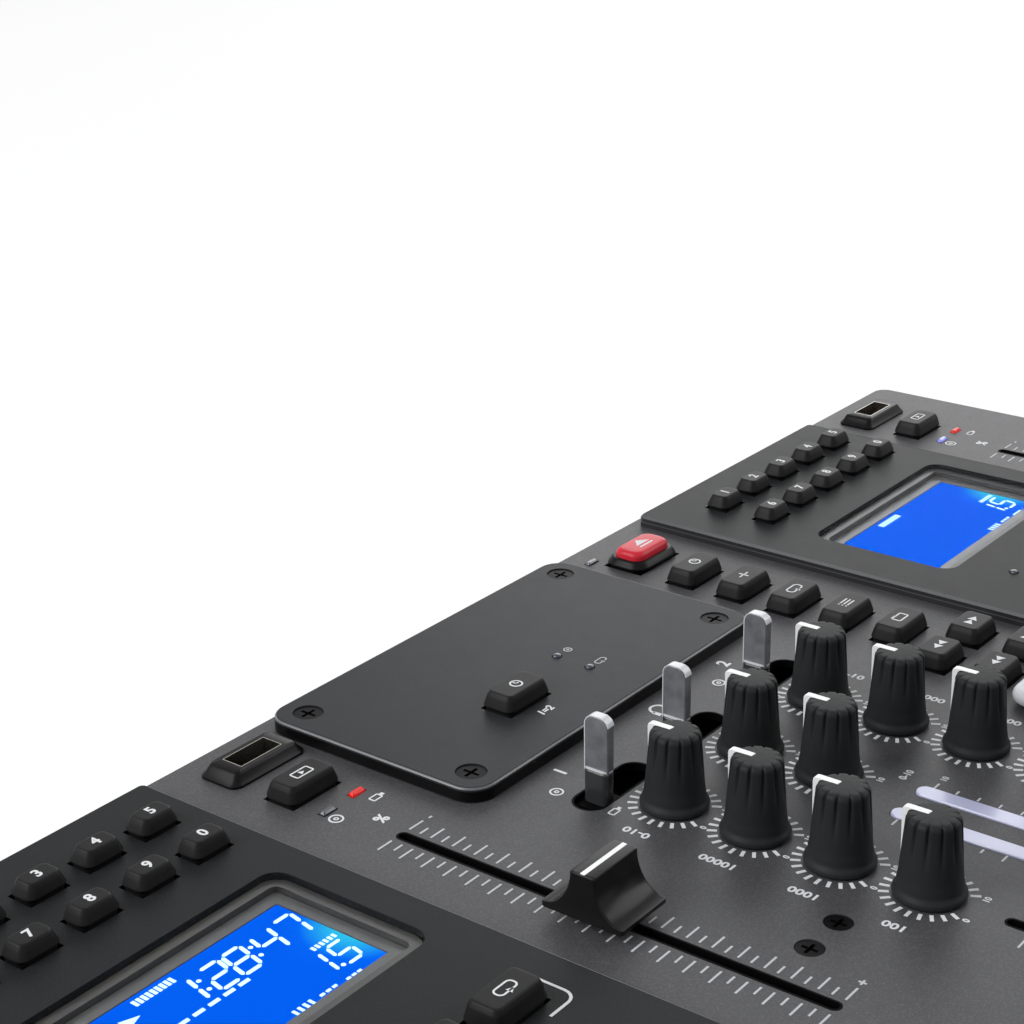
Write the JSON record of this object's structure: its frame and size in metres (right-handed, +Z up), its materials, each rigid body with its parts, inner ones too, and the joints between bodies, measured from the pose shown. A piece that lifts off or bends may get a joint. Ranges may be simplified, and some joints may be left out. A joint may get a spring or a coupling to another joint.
{
  "type": "dual disc player and mixer",
  "caption": "Table-top disc player for a DJ: two decks with trays, displays, jog wheels and pitch faders either side of a two-channel mixer with tall knobs and faders",
  "frame": {"origin": "on the table, under the middle of the whole object", "axes": "+X to the user's right, along the long side; +Y away from the user; +Z up"},
  "size_m": [0.54, 0.3124, 0.0938],
  "materials": {
    "case_plastic": "fine moulded grain, black",
    "top_paint": "satin dark grey powder paint with a fine grain",
    "rubber": "matte black rubber",
    "screw_black": "black zinc",
    "plate_plastic": "satin black, glossy at its bevel",
    "window_clear": "clear glossy window",
    "display_grey": "pale grey frame round a blue lit face",
    "collar_black": "black moulded plastic",
    "lamp_clear": "translucent light pipe",
    "board_green": "green circuit board",
    "socket_metal": "plated brass",
    "loader_black": "black moulded chassis",
    "knob_black": "black moulded plastic with a white pointer",
    "lever_clear": "smoky clear paddle on a black stem",
    "fader_black": "satin black with a white line",
    "key_black": "matte black key top with white print",
    "eject_red": "lit red translucent cap",
    "pad_grey": "pale translucent pad",
    "jog_black": "satin black wheel",
    "tray_black": "black moulded tray",
    "gear_white": "natural acetal"
  },
  "bodies": {
    "body": {"base_plate": "case_plastic", "case_walls": "case_plastic", "top_panel": "top_paint", "rubber_feet": "rubber", "screws": "screw_black", "centre_plate": "plate_plastic", "deck_panels": "plate_plastic", "display_windows": "window_clear", "display_modules": "display_grey", "usb_sockets": "collar_black", "lamps": "lamp_clear", "circuit_boards": "board_green", "phono_sockets": "socket_metal", "jack_sockets": "collar_black", "mains_fittings": "collar_black", "loader_frames": "loader_black"},
    "channel_a_level_knob": {"channel_a_level_knob": "knob_black"},
    "channel_a_high_knob": {"channel_a_high_knob": "knob_black"},
    "channel_a_mid_knob": {"channel_a_mid_knob": "knob_black"},
    "channel_a_low_knob": {"channel_a_low_knob": "knob_black"},
    "cue_mix_knob": {"cue_mix_knob": "knob_black"},
    "master_knob": {"master_knob": "knob_black"},
    "channel_b_level_knob": {"channel_b_level_knob": "knob_black"},
    "channel_b_high_knob": {"channel_b_high_knob": "knob_black"},
    "channel_b_mid_knob": {"channel_b_mid_knob": "knob_black"},
    "channel_b_low_knob": {"channel_b_low_knob": "knob_black"},
    "source_lever_a": {"source_lever_a": "lever_clear"},
    "cue_lever": {"cue_lever": "lever_clear"},
    "source_lever_b": {"source_lever_b": "lever_clear"},
    "channel_a_fader": {"channel_a_fader": "fader_black"},
    "channel_b_fader": {"channel_b_fader": "fader_black"},
    "crossfader": {"crossfader": "fader_black"},
    "sync_key": {"sync_key": "key_black"},
    "power_rocker": {"power_rocker": "key_black"},
    "left_jog_wheel": {"left_jog_wheel": "jog_black"},
    "left_panel_keys": {"left_panel_keys": "key_black"},
    "left_side_keys": {"left_side_keys": "key_black"},
    "left_source_key": {"left_source_key": "key_black"},
    "left_eject_key": {"left_eject_key": "eject_red"},
    "left_cue_pad": {"left_cue_pad": "pad_grey"},
    "left_play_pad": {"left_play_pad": "pad_grey"},
    "left_pitch_fader": {"left_pitch_fader": "fader_black"},
    "left_tray": {"left_disc_tray": "tray_black", "left_tray_front": "case_plastic"},
    "left_loader_gear": {"left_loader_gear": "gear_white"},
    "left_turntable": {"left_turntable": "loader_black"},
    "left_laser_sled": {"left_laser_sled": "loader_black"},
    "right_jog_wheel": {"right_jog_wheel": "jog_black"},
    "right_panel_keys": {"right_panel_keys": "key_black"},
    "right_side_keys": {"right_side_keys": "key_black"},
    "right_source_key": {"right_source_key": "key_black"},
    "right_eject_key": {"right_eject_key": "eject_red"},
    "right_cue_pad": {"right_cue_pad": "pad_grey"},
    "right_play_pad": {"right_play_pad": "pad_grey"},
    "right_pitch_fader": {"right_pitch_fader": "fader_black"},
    "right_tray": {"right_disc_tray": "tray_black", "right_tray_front": "case_plastic"},
    "right_loader_gear": {"right_loader_gear": "gear_white"},
    "right_turntable": {"right_turntable": "loader_black"},
    "right_laser_sled": {"right_laser_sled": "loader_black"}
  },
  "joints": [
    {"name": "channel_a_level_knob_turn", "type": "hinge", "parent": "body", "child": "channel_a_level_knob", "pos_m": [-0.0344, 0.0361, 0.072], "axis": [0, 0, -1], "range_deg": [-150, 150]},
    {"name": "channel_a_high_knob_turn", "type": "hinge", "parent": "body", "child": "channel_a_high_knob", "pos_m": [-0.0344, 0.0136, 0.072], "axis": [0, 0, -1], "range_deg": [-150, 150]},
    {"name": "channel_a_mid_knob_turn", "type": "hinge", "parent": "body", "child": "channel_a_mid_knob", "pos_m": [-0.0344, -0.0089, 0.072], "axis": [0, 0, -1], "range_deg": [-150, 150]},
    {"name": "channel_a_low_knob_turn", "type": "hinge", "parent": "body", "child": "channel_a_low_knob", "pos_m": [-0.0344, -0.0314, 0.072], "axis": [0, 0, -1], "range_deg": [-150, 150]},
    {"name": "cue_mix_knob_turn", "type": "hinge", "parent": "body", "child": "cue_mix_knob", "pos_m": [-0.0001, 0.0361, 0.072], "axis": [0, 0, -1], "range_deg": [-150, 150]},
    {"name": "master_knob_turn", "type": "hinge", "parent": "body", "child": "master_knob", "pos_m": [-0.0001, 0.0136, 0.072], "axis": [0, 0, -1], "range_deg": [-150, 150]},
    {"name": "channel_b_level_knob_turn", "type": "hinge", "parent": "body", "child": "channel_b_level_knob", "pos_m": [0.0342, 0.0361, 0.072], "axis": [0, 0, -1], "range_deg": [-150, 150]},
    {"name": "channel_b_high_knob_turn", "type": "hinge", "parent": "body", "child": "channel_b_high_knob", "pos_m": [0.0342, 0.0136, 0.072], "axis": [0, 0, -1], "range_deg": [-150, 150]},
    {"name": "channel_b_mid_knob_turn", "type": "hinge", "parent": "body", "child": "channel_b_mid_knob", "pos_m": [0.0342, -0.0089, 0.072], "axis": [0, 0, -1], "range_deg": [-150, 150]},
    {"name": "channel_b_low_knob_turn", "type": "hinge", "parent": "body", "child": "channel_b_low_knob", "pos_m": [0.0342, -0.0314, 0.072], "axis": [0, 0, -1], "range_deg": [-150, 150]},
    {"name": "source_lever_a_slide", "type": "slide", "parent": "body", "child": "source_lever_a", "axis": [1, 0, 0], "range_m": [0, 0.0116]},
    {"name": "cue_lever_slide", "type": "slide", "parent": "body", "child": "cue_lever", "axis": [1, 0, 0], "range_m": [0, 0.0116]},
    {"name": "source_lever_b_slide", "type": "slide", "parent": "body", "child": "source_lever_b", "axis": [1, 0, 0], "range_m": [0, 0.0116]},
    {"name": "channel_a_fader_slide", "type": "slide", "parent": "body", "child": "channel_a_fader", "axis": [0, 1, 0], "range_m": [-0.027, 0.027]},
    {"name": "channel_b_fader_slide", "type": "slide", "parent": "body", "child": "channel_b_fader", "axis": [0, 1, 0], "range_m": [-0.027, 0.027]},
    {"name": "crossfader_slide", "type": "slide", "parent": "body", "child": "crossfader", "axis": [1, 0, 0], "range_m": [-0.027, 0.027]},
    {"name": "sync_key_press", "type": "slide", "parent": "body", "child": "sync_key", "axis": [0, 0, -1], "range_m": [0, 0.0008], "stiffness_N_per_m": 400},
    {"name": "power_rocker_tilt", "type": "hinge", "parent": "body", "child": "power_rocker", "pos_m": [-0.15, 0.1412, 0.036], "axis": [-1, 0, 0], "range_deg": [0, 16]},
    {"name": "left_jog_turn", "type": "hinge", "parent": "body", "child": "left_jog_wheel", "pos_m": [-0.15875, -0.0678, 0.0755], "axis": [0, 0, 1], "continuous": true},
    {"name": "left_panel_keys_press", "type": "slide", "parent": "body", "child": "left_panel_keys", "axis": [0, 0, -1], "range_m": [0, 0.0008], "stiffness_N_per_m": 400},
    {"name": "left_side_keys_press", "type": "slide", "parent": "body", "child": "left_side_keys", "axis": [0, 0, -1], "range_m": [0, 0.0008], "stiffness_N_per_m": 400},
    {"name": "left_source_key_press", "type": "slide", "parent": "body", "child": "left_source_key", "axis": [0, 0, -1], "range_m": [0, 0.0008], "stiffness_N_per_m": 400},
    {"name": "left_eject_key_press", "type": "slide", "parent": "body", "child": "left_eject_key", "axis": [0, 0, -1], "range_m": [0, 0.0008], "stiffness_N_per_m": 400},
    {"name": "left_cue_pad_press", "type": "slide", "parent": "body", "child": "left_cue_pad", "axis": [0, 0, -1], "range_m": [0, 0.0008], "stiffness_N_per_m": 400},
    {"name": "left_play_pad_press", "type": "slide", "parent": "body", "child": "left_play_pad", "axis": [0, 0, -1], "range_m": [0, 0.0008], "stiffness_N_per_m": 400},
    {"name": "left_pitch_fader_slide", "type": "slide", "parent": "body", "child": "left_pitch_fader", "axis": [0, 1, 0], "range_m": [-0.05, 0.05]},
    {"name": "left_tray_slide", "type": "slide", "parent": "body", "child": "left_tray", "axis": [0, -1, 0], "range_m": [0, 0.135]},
    {"name": "left_gear_turn", "type": "hinge", "parent": "body", "child": "left_loader_gear", "pos_m": [-0.19575, -0.1293, 0.031], "axis": [0, 0, 1], "range_deg": [0, 517]},
    {"name": "left_disc_spin", "type": "hinge", "parent": "body", "child": "left_turntable", "pos_m": [-0.15875, -0.0818, 0.0234], "axis": [0, 0, 1], "continuous": true},
    {"name": "left_sled_slide", "type": "slide", "parent": "body", "child": "left_laser_sled", "axis": [0, 1, 0], "range_m": [0, 0.033]},
    {"name": "right_jog_turn", "type": "hinge", "parent": "body", "child": "right_jog_wheel", "pos_m": [0.15875, -0.0678, 0.0755], "axis": [0, 0, 1], "continuous": true},
    {"name": "right_panel_keys_press", "type": "slide", "parent": "body", "child": "right_panel_keys", "axis": [0, 0, -1], "range_m": [0, 0.0008], "stiffness_N_per_m": 400},
    {"name": "right_side_keys_press", "type": "slide", "parent": "body", "child": "right_side_keys", "axis": [0, 0, -1], "range_m": [0, 0.0008], "stiffness_N_per_m": 400},
    {"name": "right_source_key_press", "type": "slide", "parent": "body", "child": "right_source_key", "axis": [0, 0, -1], "range_m": [0, 0.0008], "stiffness_N_per_m": 400},
    {"name": "right_eject_key_press", "type": "slide", "parent": "body", "child": "right_eject_key", "axis": [0, 0, -1], "range_m": [0, 0.0008], "stiffness_N_per_m": 400},
    {"name": "right_cue_pad_press", "type": "slide", "parent": "body", "child": "right_cue_pad", "axis": [0, 0, -1], "range_m": [0, 0.0008], "stiffness_N_per_m": 400},
    {"name": "right_play_pad_press", "type": "slide", "parent": "body", "child": "right_play_pad", "axis": [0, 0, -1], "range_m": [0, 0.0008], "stiffness_N_per_m": 400},
    {"name": "right_pitch_fader_slide", "type": "slide", "parent": "body", "child": "right_pitch_fader", "axis": [0, 1, 0], "range_m": [-0.05, 0.05]},
    {"name": "right_tray_slide", "type": "slide", "parent": "body", "child": "right_tray", "axis": [0, -1, 0], "range_m": [0, 0.135]},
    {"name": "right_gear_turn", "type": "hinge", "parent": "body", "child": "right_loader_gear", "pos_m": [0.12175, -0.1293, 0.031], "axis": [0, 0, 1], "range_deg": [0, 517]},
    {"name": "right_disc_spin", "type": "hinge", "parent": "body", "child": "right_turntable", "pos_m": [0.15875, -0.0818, 0.0234], "axis": [0, 0, 1], "continuous": true},
    {"name": "right_sled_slide", "type": "slide", "parent": "body", "child": "right_laser_sled", "axis": [0, 1, 0], "range_m": [0, 0.033]}
  ],
  "couplings": [
    {"joint": "left_gear_turn", "follows": "left_tray_slide", "rad_per_m": 66.667},
    {"joint": "right_gear_turn", "follows": "right_tray_slide", "rad_per_m": 66.667}
  ]
}
